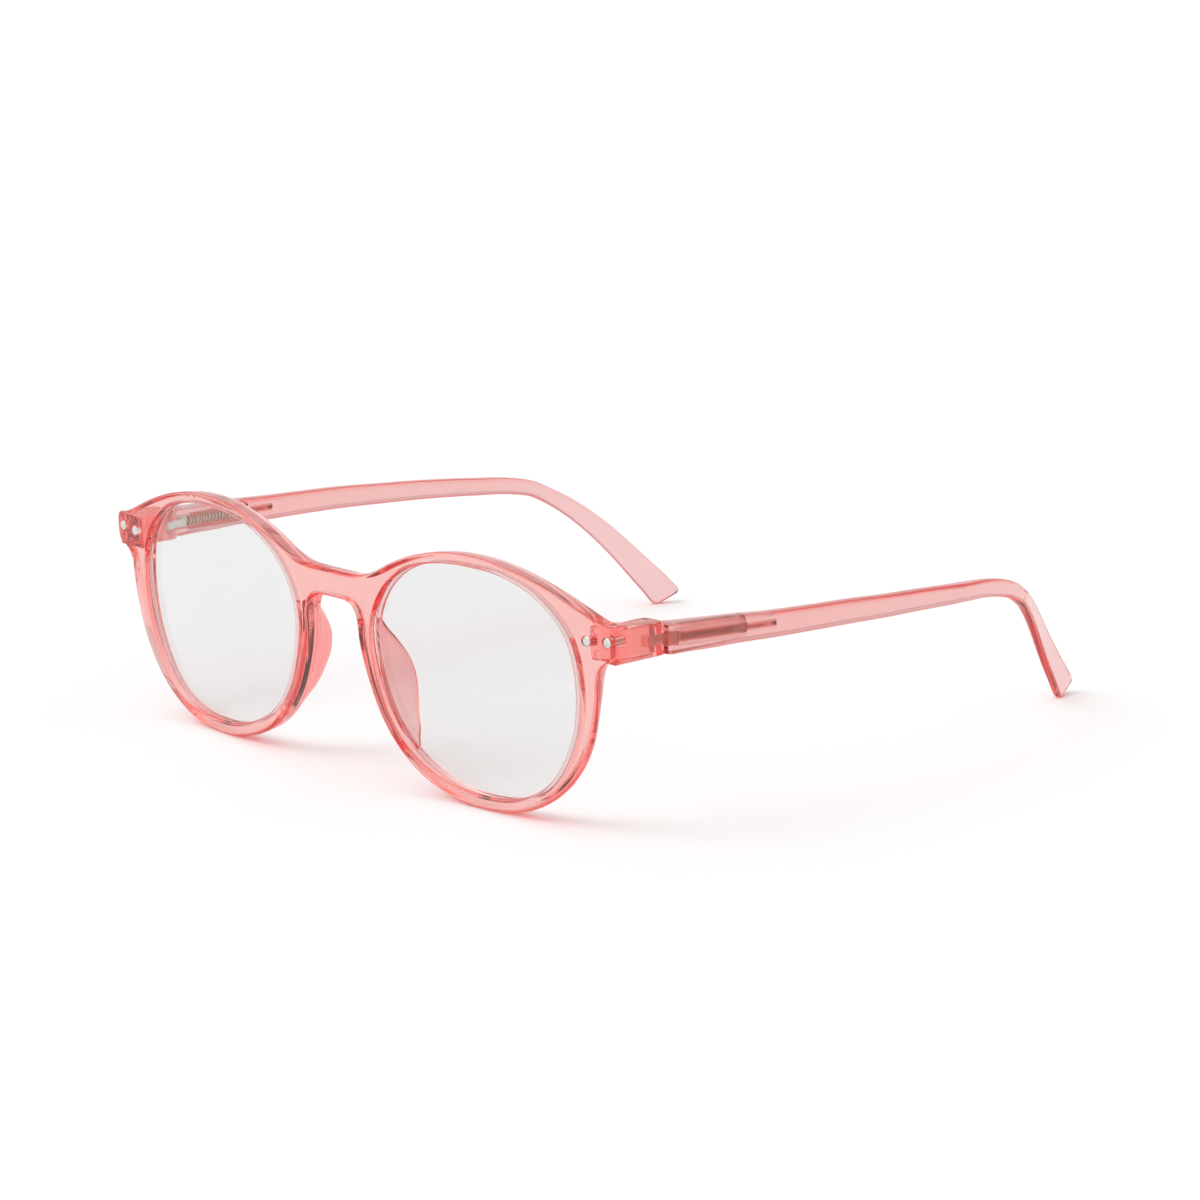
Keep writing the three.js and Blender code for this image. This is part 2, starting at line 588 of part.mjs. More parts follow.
// ------------------------------------------------------------------- temples
function templeSolid() {
  const st = TEMPLE.map(([y, xo, zm, h, t]) => ({ c: new THREE.Vector3(xo - t / 2, y, zm), h, t }));
  // squared tip with rounded corners
  const last = st[st.length - 1];
  const dir = last.c.clone().sub(st[st.length - 3].c).normalize();
  for (const a of [0.35, 0.65, 0.87, 0.98]) {
    const k = 1 - Math.sqrt(1 - a * a);
    st.push({ c: last.c.clone().addScaledVector(dir, TIP_R * a), h: last.h - 2 * TIP_R * k, t: last.t * (1 - 0.35 * k), dir });
  }
  const Z = new THREE.Vector3(0, 0, 1);
  const rings = st.map((s, i) => {
    const a = st[Math.max(0, i - 1)].c, b = st[Math.min(st.length - 1, i + 1)].c;
    let T = s.dir ? s.dir : b.clone().sub(a).normalize();
    if (i === 0) T = new THREE.Vector3(0, 1, 0);
    const U0 = new THREE.Vector3().crossVectors(T, Z).normalize();
    const W0 = new THREE.Vector3().crossVectors(U0, T).normalize();
    const tw = ((TIP_TWIST * Math.PI) / 180) * Math.min(1, Math.max(0, (s.c.y - 106) / 33));
    const U = U0.clone().multiplyScalar(Math.cos(tw)).addScaledVector(W0, Math.sin(tw));
    const W = W0.clone().multiplyScalar(Math.cos(tw)).addScaledVector(U0, -Math.sin(tw));
    const hu = s.t / 2, hw = s.h / 2;
    const c = Math.min(0.55, hw * 0.4, hu * 0.5);
    const prof = [[hu, -hw + c], [hu, hw - c], [hu - c, hw], [-hu + c, hw], [-hu, hw - c], [-hu, -hw + c], [-hu + c, -hw], [hu - c, -hw]];
    const slant = TIP_SLANT * Math.min(1, Math.max(0, (s.c.y - 128) / 10.6)) ** 2;
    return prof.map(([u, w]) => s.c.clone().addScaledVector(U, u).addScaledVector(W, w).addScaledVector(T, slant * (w + s.h / 2)).toArray());
  });
  let body = solid(loft(rings));
  const cut = (g) => { body = body.subtract(solid(g)); };
  // open pocket for spring and nut
  const box = (u0, u1, s0, s1, w) => prism([[u0, s0], [u1, s0], [u1, s1], [u0, s1]], -w, w, (u, s, ww) => at(u, ww, s));
  cut(box(-3, ROD_U + SPRING_R + WIRE_R + 0.15, POCKET_S0, POCKET_S1, POCKET_H / 2));
  // guide for the neck, open to the front and to the inner side
  cut(box(-3, ROD_U + NECK_W / 2 + 0.2, -1, POCKET_S0 + 0.5, NECK_H / 2 + 0.2));
  // blind bore for the tail
  cut(rodOf(BORE_R, POCKET_S1 - 0.5, BORE_S1, 16, rodAt));
  return body;
}
const temple = plain(templeSolid());

// -------------------------------------------------------------------- output
// the origin sits under the middle of the overall box, on the table plane
const all = [plain(front), temple];
let yLo = Infinity, yHi = -Infinity;
for (const g of all) {
  g.computeBoundingBox();
  yLo = Math.min(yLo, g.boundingBox.min.y);
  yHi = Math.max(yHi, g.boundingBox.max.y);
}
for (const r of RIVETS) yLo = Math.min(yLo, frontY(r[0], r[1]) - 0.12);
const Y_MID = (yLo + yHi) / 2;

const group = new THREE.Group();
group.name = 'blue_light_glasses';
function add(name, geometry, color, extra = {}) {
  const mat = new THREE.MeshStandardMaterial({ color, ...extra });
  mat.name = name + '_mat';
  geometry = geometry.clone();
  geometry.translate(0, -Y_MID, 0);
  geometry.computeVertexNormals();
  const mesh = new THREE.Mesh(geometry, mat);
  mesh.name = name;
  group.add(mesh);
}
const CORAL = 0xf2a09a;
const clear = { roughness: 0.08, metalness: 0, transparent: true, opacity: 0.75 };
const steel = { roughness: 0.35, metalness: 1 };
add('front_frame', all[0], CORAL, clear);
add('lens_left', lensR, 0xe9eceb, { roughness: 0.03, metalness: 0, transparent: true, opacity: 0.35 });
add('lens_right', lensL, 0xe9eceb, { roughness: 0.03, metalness: 0, transparent: true, opacity: 0.35 });
RIVETS.forEach((r, i) => {
  const g = rivetGeo(r);
  const where = i === 0 ? 'inner' : 'outer';
  add('rivet_left_' + where, g, 0xc9ccc6, steel);
  add('rivet_right_' + where, mirrorX(g), 0xc9ccc6, steel);
});
add('temple_left', temple, CORAL, clear);
add('temple_right', mirrorX(temple), CORAL, clear);
for (const [n, g, c] of [['hinge_link', link, 0xb9ad9c], ['hinge_spring', spring, 0x8f8580], ['spring_nut', nut, 0xa8a29a], ['hinge_screw', screw, 0xb4b6b4]]) {
  add(n + '_left', g, c, steel);
  add(n + '_right', mirrorX(g), c, steel);
}

export default group;
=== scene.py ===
import math
import bpy
import bmesh
import numpy as np
from mathutils import Vector, Matrix, Quaternion
from mathutils.geometry import delaunay_2d_cdt


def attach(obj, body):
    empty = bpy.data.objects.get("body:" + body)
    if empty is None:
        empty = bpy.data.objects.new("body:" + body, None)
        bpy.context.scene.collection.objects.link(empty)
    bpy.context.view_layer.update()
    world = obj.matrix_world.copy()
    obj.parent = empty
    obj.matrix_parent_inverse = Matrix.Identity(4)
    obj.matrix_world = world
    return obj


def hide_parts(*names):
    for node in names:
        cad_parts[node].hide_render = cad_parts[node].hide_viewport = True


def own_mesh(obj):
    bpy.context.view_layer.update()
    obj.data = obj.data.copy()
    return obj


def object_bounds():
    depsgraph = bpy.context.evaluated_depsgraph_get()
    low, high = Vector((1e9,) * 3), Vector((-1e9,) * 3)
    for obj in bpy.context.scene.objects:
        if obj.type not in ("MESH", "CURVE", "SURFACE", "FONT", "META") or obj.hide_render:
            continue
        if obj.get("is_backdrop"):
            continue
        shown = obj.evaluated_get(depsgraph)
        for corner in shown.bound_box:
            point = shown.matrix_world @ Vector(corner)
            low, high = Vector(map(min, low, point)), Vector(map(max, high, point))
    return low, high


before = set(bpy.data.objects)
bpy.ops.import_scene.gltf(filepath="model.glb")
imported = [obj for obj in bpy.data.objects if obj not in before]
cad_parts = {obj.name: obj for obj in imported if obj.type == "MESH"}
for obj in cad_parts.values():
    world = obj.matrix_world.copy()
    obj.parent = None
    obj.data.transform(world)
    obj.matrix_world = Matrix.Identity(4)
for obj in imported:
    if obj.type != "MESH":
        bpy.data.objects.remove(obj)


def box_list():
    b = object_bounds()
    if isinstance(b, dict):
        return {k: [float(x) for x in v] if hasattr(v, "__len__") else float(v) for k, v in b.items()}
    return [[float(x) for x in v] if hasattr(v, "__len__") else float(v) for v in b]


size = {"after_load": box_list()}

# ---------------------------------------------------------------- dimensions
Y_MID = 70.0387
RIM_DEPTH = 4.0
FRONT_LEAN = 0.07
WRAP_FLAT = 5
WRAP_K = 5.0 / (61 * 61)
DRAFT = [(-90, 0), (-84, 0), (-74, 0.5), (-62, 1.1), (-50, 1.7), (-38, 2.2), (-25, 2.5), (-8, 2.5),
         (2, 2.1), (12, 1.2), (25, 0.4), (60, 0.3), (180, 0.3)]
BRIDGE_FLAT = 0.02
END_X = 67.5
LENS_SETBACK, LENS_EDGE, LENS_BITE, LENS_BULGE = 1.2, 1.8, 0.5, 0.8
GROOVE_GAP = 0.15
AXIS_X, AXIS_Y, KNUCKLE_R, SEAM_Y = 64.4, 13.2, 1.7, 14.9
LUG_Z0, LUG_Z1 = 31.35, 37.35
EYE_Z, EYE_R, EYE_T, PIN_R, PIN_HOLE_R = 34.1, 1.3, 1.5, 0.6, 0.69
SLIDE_DX, SLIDE_DZ = 0.105, -0.035
ROD_U, ROD_R, NECK_S1, NECK_W, NECK_H = 0.95, 0.6, 5.2, 1.5, 2.1
SPRING_S0, SPRING_S1, SPRING_R, WIRE_R, SPRING_TURNS = 5.55, 17.2, 1.05, 0.24, 14
NUT_S0, NUT_S1, NUT_R, TAIL_S1 = 17.45, 18.95, 1.25, 25.6
POCKET_S0, POCKET_S1, POCKET_H, BORE_R, BORE_S1 = 5.3, 20.6, 3.2, 0.85, 27.8
RIVETS = [(61.5, 34.9), (65.8, 35.2)]
RIVET_R, RIVET_HOLE_R, RIVET_LEN = 0.92, 1.07, 3.0
CIRCLES = [(63.75, 37.0), (63.9, 32.9)]

OUTLINE = [
    (0, 38.0), (5, 38.05), (8.5, 38.4), (12, 39.6), (15.9, 41.6), (19, 43.0), (22.1, 44.15),
    (25.1, 45.0), (28.2, 45.7), (31.7, 46.15), (35.5, 46.25), (39.3, 46.1), (43.1, 45.6),
    (47.3, 44.7), (51.7, 43.4), (56.2, 41.75), (60.3, 40.0), (63, 38.85), (65.3, 38.05),
    (66.9, 37.8), (67.5, 37.2), (67.5, 32.6), (66.8, 31.9), (65.3, 31.3), (64.2, 30.4),
    (63.55, 29.0), (63.3, 27.2), (63.2, 25.0), (62.9, 22.5), (62.4, 19.8), (61.5, 16.6),
    (60.1, 13.4), (58.3, 10.5), (56.1, 7.8), (53.2, 5.2), (49.8, 3.0), (46.5, 1.5),
    (43.2, 0.6), (39.9, 0.15), (37.3, 0), (33.7, 0), (31.2, 0.25), (28.8, 0.75), (26, 1.5), (23, 2.6),
    (20.1, 4.1), (17.3, 6.1), (14.4, 8.9), (11.6, 12.7), (9.6, 16.8), (8.3, 20.4),
    (7.4, 23.9), (7.0, 26.5), (6.9, 28.8), (6.3, 30.8), (5.0, 32.2), (3.2, 32.7),
]
OPENING = [
    (36.4, 44.0), (40.9, 43.8), (44.8, 43.0), (48.2, 41.9), (51, 40.4), (53.2, 38.7),
    (55.1, 36.8), (56.6, 34.7), (57.5, 32.4), (58.1, 30), (58.4, 27.4), (58.5, 24.9),
    (58.3, 22), (57.8, 18.9), (56.8, 15.7), (55.4, 12.6), (53.6, 9.7), (51.3, 7.2),
    (48.5, 5.2), (45.2, 3.8), (41.4, 2.9), (37.4, 2.6), (33.4, 2.7), (29.4, 3.3),
    (25.6, 4.4), (22.1, 6.0), (19, 8.0), (16.3, 10.6), (14.2, 13.6), (12.7, 16.8),
    (11.6, 20), (10.9, 23), (10.5, 26), (10.6, 29), (11.4, 32), (12.9, 34.9),
    (15.1, 37.6), (17.9, 39.9), (21.2, 41.7), (24.8, 42.9), (28.5, 43.65), (32.4, 44.0),
]
PAD = [
    (6.4, 2.4, 17.0), (7.6, 4.2, 15.9), (9.2, 5.6, 14.1), (10.8, 6.6, 13.0), (12.4, 7.4, 11.8), (14, 8.1, 10.9),
    (15.8, 8.7, 10.05), (17.6, 9.2, 9.3), (19.4, 9.5, 8.65), (21.2, 9.4, 8.1), (23, 9.0, 7.6),
    (24.8, 8.1, 7.25), (26.6, 7.0, 7.05), (28.4, 5.7, 6.95), (30.2, 4.6, 6.9), (31.6, 3.2, 6.3),
]
PAD_FLARE, PAD_T = 0.25, 1.7
TEMPLE = [
    (15.3, 68.1, 34.0, 5.4, 3.7), (20, 68.55, 33.85, 5.25, 3.7), (26, 69.13, 33.58, 5.2, 3.7),
    (32, 69.72, 33.4, 4.98, 3.65), (40, 70.25, 32.95, 4.69, 3.5), (50, 70.61, 32.54, 4.49, 3.3),
    (60, 70.72, 32.13, 4.34, 3.2), (70, 70.49, 31.51, 4.11, 3.1), (80, 69.85, 30.94, 3.91, 3.05),
    (90, 68.93, 30.21, 3.7, 3.0), (96, 68.01, 29.72, 3.55, 3.0), (101, 67.19, 29.3, 3.46, 2.78),
    (105.5, 66.54, 28.65, 3.44, 2.58), (110, 66.06, 27.55, 3.36, 2.38), (114, 65.22, 25.59, 3.39, 2.2),
    (118, 63.53, 23.06, 3.75, 2.03), (122, 61.73, 19.84, 4.13, 1.9), (126, 59.97, 16.12, 4.62, 1.8),
    (130, 58.42, 11.97, 5.1, 1.75), (134, 57.15, 7.73, 5.71, 1.72), (136.6, 56.38, 5.08, 6.15, 1.7),
    (138.6, 55.85, 2.9, 6.5, 1.65),
]
TIP_TWIST, TIP_SLANT, TIP_R = 3, 0.36, 1.9


# ------------------------------------------------------------------- helpers
def front_y(x, z):
    a = max(0.0, abs(x) - WRAP_FLAT)
    return WRAP_K * a * a - FRONT_LEAN * z


def spline(pts, step, closed=False, sharp=()):
    """Centripetal Catmull-Rom through pts (any dimension), resampled at about step."""
    P = [np.array(p, float) for p in pts]
    n = len(P)
    out = []
    segs = n if closed else n - 1
    for i in range(segs):
        p1, p2 = P[i], P[(i + 1) % n]
        p0 = P[(i - 1) % n] if (closed or i > 0) else 2 * p1 - p2
        p3 = P[(i + 2) % n] if (closed or i + 2 < n) else 2 * p2 - p1
        d01 = max(1e-6, np.linalg.norm(p1 - p0)) ** 0.5
        d12 = max(1e-6, np.linalg.norm(p2 - p1)) ** 0.5
        d23 = max(1e-6, np.linalg.norm(p3 - p2)) ** 0.5
        m1 = (p2 - p1) + d12 * ((p1 - p0) / d01 - (p2 - p0) / (d01 + d12))
        m2 = (p2 - p1) + d12 * ((p3 - p2) / d23 - (p3 - p1) / (d12 + d23))
        k = max(1, int(round(np.linalg.norm(p2 - p1) / step)))
        for j in range(k):
            t = j / k
            out.append((2 * t**3 - 3 * t**2 + 1) * p1 + (t**3 - 2 * t**2 + t) * m1
                       + (-2 * t**3 + 3 * t**2) * p2 + (t**3 - t**2) * m2)
    if not closed:
        out.append(P[-1])
    return out


def ccw(loop):
    a = 0
    for i in range(len(loop)):
        p, q = loop[i], loop[(i + 1) % len(loop)]
        a += p[0] * q[1] - q[0] * p[1]
    return list(reversed(loop)) if a < 0 else list(loop)


def loop_normals(loop):
    L = np.array(loop)
    d = np.roll(L, -1, 0) - np.roll(L, 1, 0)
    n = np.c_[d[:, 1], -d[:, 0]]
    return n / np.maximum(1e-9, np.linalg.norm(n, axis=1))[:, None]


def make_object(name, verts, faces, mirror=False):
    """A mesh object from millimetre coordinates in the modelling frame."""
    V = np.array(verts, float).reshape(-1, 3).copy()
    V[:, 1] -= Y_MID
    V *= 0.001
    F = [tuple(f) for f in faces]
    if mirror:
        V[:, 0] *= -1
        F = [tuple(reversed(f)) for f in F]
    me = bpy.data.meshes.new(name)
    me.from_pydata(V.tolist(), [], F)
    me.validate()
    ob = bpy.data.objects.new(name, me)
    bpy.context.scene.collection.objects.link(ob)
    bm = bmesh.new()
    bm.from_mesh(me)
    bmesh.ops.remove_doubles(bm, verts=bm.verts, dist=1e-7)
    bmesh.ops.recalc_face_normals(bm, faces=bm.faces)
    bm.to_mesh(me)
    bm.free()
    return ob


def loft(rings):
    n = len(rings[0])
    verts = [p for r in rings for p in r]
    faces = []
    for k in range(len(rings) - 1):
        for i in range(n):
            j = (i + 1) % n
            faces.append((k * n + i, k * n + j, (k + 1) * n + j, (k + 1) * n + i))
    faces.append(tuple(reversed(range(n))))
    faces.append(tuple((len(rings) - 1) * n + i for i in range(n)))
    return verts, faces


def turned(profile, segs, place):
    rings = []
    for r, s in profile[1:-1]:
        rings.append([place(r * math.cos(2 * math.pi * i / segs), r * math.sin(2 * math.pi * i / segs), s) for i in range(segs)])
    verts = [p for r in rings for p in r]
    faces = []
    for k in range(len(rings) - 1):
        for i in range(segs):
            j = (i + 1) % segs
            faces.append((k * segs + i, k * segs + j, (k + 1) * segs + j, (k + 1) * segs + i))
    a = len(verts)
    verts.append(place(0, 0, profile[0][1]))
    verts.append(place(0, 0, profile[-1][1]))
    e = (len(rings) - 1) * segs
    for i in range(segs):
        j = (i + 1) % segs
        faces.append((a, j, i))
        faces.append((a + 1, e + i, e + j))
    return verts, faces


def prism(poly, c0, c1, place):
    n = len(poly)
    verts = [place(a, b, c0) for a, b in poly] + [place(a, b, c1) for a, b in poly]
    faces = [tuple(reversed(range(n))), tuple(range(n, 2 * n))]
    for i in range(n):
        j = (i + 1) % n
        faces.append((i, j, j + n, i + n))
    return verts, faces


def rod(r, s0, s1, segs, place):
    return turned([(0, s0), (r, s0), (r, s1), (0, s1)], segs, place)


def boolean(target, tool, op):
    m = target.modifiers.new("b", "BOOLEAN")
    m.operation = op
    m.object = tool
    m.solver = "MANIFOLD"
    bpy.context.view_layer.objects.active = target
    n0 = len(target.data.polygons)
    with bpy.context.temp_override(object=target, active_object=target, selected_objects=[target]):
        bpy.ops.object.modifier_apply(modifier=m.name)
    bpy.data.objects.remove(tool, do_unlink=True)


def finish_mesh(ob, angle=32, weighted=True):
    me = ob.data
    bm = bmesh.new()
    bm.from_mesh(me)
    bmesh.ops.remove_doubles(bm, verts=bm.verts, dist=2e-7)
    lim = math.radians(angle)
    for f in bm.faces:
        f.smooth = True
    for e in bm.edges:
        e.smooth = len(e.link_faces) != 2 or e.calc_face_angle(0) < lim
    bm.to_mesh(me)
    bm.free()
    if weighted:
        w = ob.modifiers.new("normals", "WEIGHTED_NORMAL")
        w.mode = "FACE_AREA"
        w.weight = 50
        w.keep_sharp = True


# ------------------------------------------------------------ hinge reference
def unit(v):
    v = np.array(v, float)
    return v / np.linalg.norm(v)


eS = unit([SLIDE_DX, 1, SLIDE_DZ])
eU = unit([1, -SLIDE_DX, 0])
eW = unit(np.cross(eU, eS))
ORIGIN = np.array([AXIS_X, AXIS_Y, EYE_Z])


def at(u, w, s):
    return ORIGIN + eU * u + eS * s + eW * w


def rod_at(a, b, s):
    return at(ROD_U + b, a, s)


def upright(x, y):
    return lambda a, b, s: (x + a, y + b, s)


# --------------------------------------------------------------- front plate
STEP = 0.62
half = OUTLINE
i_corner = half.index((66.9, 37.8))
right = spline(half, STEP)
outline = ccw([tuple(p) for p in right] + [(0, 32.75)] + [(-p[0], p[1]) for p in reversed(right[1:])])
opening = ccw([tuple(p) for p in spline(OPENING, STEP, closed=True)])
opening_l = ccw([(-x, z) for x, z in opening])


def draft(x, z):
    a = math.degrees(math.atan2(z - 24, abs(x) - 35))
    if a < -90:
        return 0.3 * min(1, max(0, (-a - 96) / 14))
    return float(np.interp(a, [d[0] for d in DRAFT], [d[1] for d in DRAFT]))


def offset_outer(loop, layers):
    """layers: (depth, fixed offset, share of the draft)"""
    nn = loop_normals(loop)
    dr = np.array([draft(*p) for p in loop])
    # gentle smoothing of the draft along the outline
    for _ in range(12):
        dr = 0.25 * np.roll(dr, 1) + 0.5 * dr + 0.25 * np.roll(dr, -1)
    L = np.array(loop)
    f = 1 - 0.75 * np.clip((np.abs(L[:, 0]) - 63.6) / 2, 0, 1)
    # the front edge is a broader bevel over the bridge and round the lower rims
    g = 1 + 1.0 * np.clip((10.5 - np.abs(L[:, 0])) / 3.5, 0, 1) * (L[:, 1] > 31)
    g = g + 0.9 * np.clip((27.0 - L[:, 1]) / 8.0, 0, 1)
    for _ in range(10):
        g = 0.25 * np.roll(g, 1) + 0.5 * g + 0.25 * np.roll(g, -1)
    rings = []
    for depth, fixed, share in layers:
        front_part = depth < 1.0
        gg = g if front_part else 1.0
        d = (fixed * gg - share * dr) * f
        Q = L + nn * d[:, None]
        dd = np.minimum(depth * gg, 1.3) * np.ones(len(L))
        rings.append([(x, front_y(x, z) + e, z) for (x, z), e in zip(Q, dd if front_part else np.full(len(L), depth))])
    return rings


def offset_hole(loop, layers):
    nn = loop_normals(loop)
    L = np.array(loop)
    rings = []
    for depth, off in layers:
        Q = L + nn * off
        rings.append([(x, front_y(x, z) + depth, z) for x, z in Q])
    return rings


def round_layers(d0, d1, off0, off1, n, kind):
    """quarter round from (d0, off0) to (d1, off1)"""
    out = []
    for i in range(n + 1):
        t = i / n * math.pi / 2
        if kind == "front":
            out.append((d0 + (d1 - d0) * (1 - math.cos(t)), off0 + (off1 - off0) * math.sin(t)))
        else:
            out.append((d0 + (d1 - d0) * math.sin(t), off0 + (off1 - off0) * (1 - math.cos(t))))
    return out


def plate():
    outer = [(d, o, 0.0) for d, o in round_layers(0, 0.55, -0.55, 0, 5, "front")]
    outer += [(1.7, 0, 0.2), (2.5, 0, 0.48), (3.1, 0, 0.68)]
    outer += [(d, o, 0.68 + 0.32 * (d - 3.1) / 0.9) for d, o in round_layers(3.1, 4.0, 0, -0.48, 6, "back")[1:]]
    hole = list(round_layers(0, 0.5, 0.5, 0, 5, "front"))
    g0, g1 = LENS_SETBACK - GROOVE_GAP, LENS_SETBACK + LENS_EDGE + GROOVE_GAP
    hole += [(g0, 0), (g0 + 0.001, LENS_BITE + 0.2), (g1 - 0.001, LENS_BITE + 0.2), (g1, 0)]
    hole += round_layers(3.4, 4.0, 0, 0.36, 5, "back")[0:]
    verts, faces = [], []

    def strip(rings, flip):
        n = len(rings[0])
        base = len(verts)
        for r in rings:
            verts.extend(r)
        for k in range(len(rings) - 1):
            for i in range(n):
                j = (i + 1) % n
                q = (base + k * n + i, base + k * n + j, base + (k + 1) * n + j, base + (k + 1) * n + i)
                faces.append(tuple(reversed(q)) if flip else q)
        return base, base + (len(rings) - 1) * n, n

    o = offset_outer(outline, outer)
    h1 = offset_hole(opening, hole)
    h2 = offset_hole(opening_l, hole)
    so = strip(o, True)
    s1 = strip(h1, False)
    s2 = strip(h2, False)
    for which in (0, 1):
        starts = [so[which], s1[which], s2[which]]
        counts = [so[2], s1[2], s2[2]]
        pts, edges, ids = [], [], []
        # the outline and the two openings give the constrained edges of the face
        for st, c in zip(starts, counts):
            b = len(pts)
            for i in range(c):
                v = verts[st + i]
                pts.append(Vector((v[0], v[2])))
                ids.append(st + i)
                edges.append((b + i, b + (i + 1) % c))
        nfix = len(pts)
        res = delaunay_2d_cdt(pts, edges, [], 0, 1e-6, True)
        vv, _, tri, ov, _, _ = res
        index = []
        for k, v in enumerate(vv):
            src = [q for q in ov[k] if q < nfix]
            if src:
                index.append(ids[src[0]])
            else:
                depth = 0 if which == 0 else RIM_DEPTH
                index.append(len(verts))
                verts.append((v[0], front_y(v[0], v[1]) + depth, v[1]))
        from mathutils.geometry import intersect_point_tri_2d
        oloop = np.array([(verts[so[which] + i][0], verts[so[which] + i][2]) for i in range(so[2])])
        l1 = np.array([(verts[s1[which] + i][0], verts[s1[which] + i][2]) for i in range(s1[2])])
        l2 = np.array([(verts[s2[which] + i][0], verts[s2[which] + i][2]) for i in range(s2[2])])

        def inside(loop, x, z):
            a, b = loop, np.roll(loop, -1, 0)
            c = (a[:, 1] > z) != (b[:, 1] > z)
            xs = a[:, 0] + (z - a[:, 1]) / np.where(c, b[:, 1] - a[:, 1], 1) * (b[:, 0] - a[:, 0])
            return bool(np.count_nonzero(c & (x < xs)) % 2)

        for t in tri:
            cx = sum(vv[q][0] for q in t) / 3
            cz = sum(vv[q][1] for q in t) / 3
            if inside(oloop, cx, cz) and not inside(l1, cx, cz) and not inside(l2, cx, cz):
                f = tuple(index[q] for q in t)
                faces.append(f if which == 0 else tuple(reversed(f)))
    return make_object("front", verts, faces)


def lug_mesh():
    pts = [(60.4, 3.4), (60.4, 6.0), (61.3, 7.4), (62.7, 9.2)]
    for i in range(13):
        t = math.pi - i / 12 * math.pi / 2
        pts.append((AXIS_X + KNUCKLE_R * math.cos(t), AXIS_Y + KNUCKLE_R * math.sin(t)))
    pts += [(END_X - 0.35, SEAM_Y), (END_X - 0.1, SEAM_Y - 0.1), (END_X, SEAM_Y - 0.35), (END_X, 3.4)]
    pts = ccw(pts)
    n = len(pts)
    rings = []

    def inset(p, d):
        cx, cy = 64.6, 9
        return (p[0] + math.copysign(min(d, abs(cx - p[0])), cx - p[0]), p[1] - (d if p[1] > cy else 0))

    c = 0.35
    steps = [(0, 1.0), (0.09, 0.62), (0.29, 0.29), (0.62, 0.09), (1.0, 0)]
    zs = [(LUG_Z0 + c * a, c * b) for a, b in steps] + [(LUG_Z1 - c * a, c * b) for a, b in reversed(steps)]
    for z, d in zs:
        rings.append([(*inset(p, d), z) for p in pts])
    return loft(rings)


def pad_mesh():
    st = spline(PAD, 0.6)
    rings = []
    nseg = 12
    for z, depth, xn in st:
        y0 = front_y(xn, z)
        d0 = min(1.2, depth - 1.0)
        r = PAD_T / 2

        def nose(d):
            return xn + 0.35 + PAD_FLARE * d

        seq = [d0, depth * 0.5 + d0 * 0.5, depth - r]
        ring = [(nose(d), y0 + d, z) for d in seq]
        for i in range(1, nseg):
            t = i / nseg * math.pi
            d = depth - r + r * math.sin(t)
            ring.append((nose(depth - r) + r - r * math.cos(t) + PAD_FLARE * (d - depth + r), y0 + d, z))
        ring += [(nose(d) + PAD_T, y0 + d, z) for d in reversed(seq)]
        rings.append(ring)
    return loft(rings)


front = plate()
for mesh in (lug_mesh(), pad_mesh()):
    for mir in (False, True):
        boolean(front, make_object("t", *mesh, mirror=mir), "UNION")
w = EYE_T / 2 + 0.25
cuts = [
    prism([(60, 11.4), (66.2, 11.4), (66.2, 16.5), (60, 16.5)], EYE_Z - w, EYE_Z + w, lambda a, b, c: (a, b, c)),
    turned([(0, 31.75), (PIN_HOLE_R, 31.75), (PIN_HOLE_R, 36.35), (1.15, 36.35), (1.15, 38), (0, 38)], 32, upright(AXIS_X, AXIS_Y)),
]
for rx, rz in RIVETS:
    ry = front_y(rx, rz)
    cuts.append(turned([(0, ry - 1), (RIVET_R + 0.04, ry - 1), (RIVET_R + 0.04, ry + RIVET_LEN + 0.2), (0, ry + RIVET_LEN + 0.2)], 28,
                       lambda a, b, s, rx=rx, rz=rz: (rx + a, s, rz - b)))
for cx_, cz_ in CIRCLES:
    cy_ = front_y(cx_, cz_)
    ring = [(0.62, -0.6), (0.78, -0.6), (0.78, 0.05), (0.70, 0.09), (0.62, 0.05)]
    n_ = 32
    vv_, ff_ = [], []
    for i in range(n_):
        t = 2 * math.pi * i / n_
        for r_, d_ in ring:
            vv_.append((cx_ + r_ * math.cos(t), cy_ + d_ - 0.07 * r_ * math.sin(t), cz_ + r_ * math.sin(t)))
    for i in range(n_):
        for k in range(5):
            a_, b_ = i * 5 + k, i * 5 + (k + 1) % 5
            c_, d_ = ((i + 1) % n_) * 5 + (k + 1) % 5, ((i + 1) % n_) * 5 + k
            ff_.append((a_, b_, c_, d_))
    cuts.append((vv_, ff_))
for mesh in cuts:
    for mir in (False, True):
        boolean(front, make_object("t", *mesh, mirror=mir), "DIFFERENCE")
finish_mesh(front, 34)


def mark(ob, test):
    """A face attribute, 1 on the moulded inner faces the tool left frosted; the plastic gives them a rougher finish and
    also a deeper colour as painted shade.
    """
    me = ob.data
    at_ = me.attributes.new("matt_and_shade", "FLOAT", "FACE")
    vals = np.zeros(len(me.polygons), np.float32)
    for i, f in enumerate(me.polygons):
        c_ = f.center
        vals[i] = 1.0 if test(abs(c_.x) * 1000, c_.y * 1000 + Y_MID, c_.z * 1000) else 0.0
    at_.data.foreach_set("value", vals)
    return float(vals.sum())


_open = np.array(opening)


def in_loop(loop, x, z):
    a, b = loop, np.roll(loop, -1, 0)
    c = (a[:, 1] > z) != (b[:, 1] > z)
    xs = a[:, 0] + (z - a[:, 1]) / np.where(c, b[:, 1] - a[:, 1], 1) * (b[:, 0] - a[:, 0])
    return bool(np.count_nonzero(c & (x < xs)) % 2)


# faces of the link slot in the lug: frosted, and given painted shade in the plastic material
def front_matt_and_shade(x, y, z):
    d = y - front_y(x, z)
    if 11.3 < y < 14.8 and abs(z - EYE_Z) < EYE_T / 2 + 0.3 and x < 66.25:
        return True
    return False


mark(front, front_matt_and_shade)


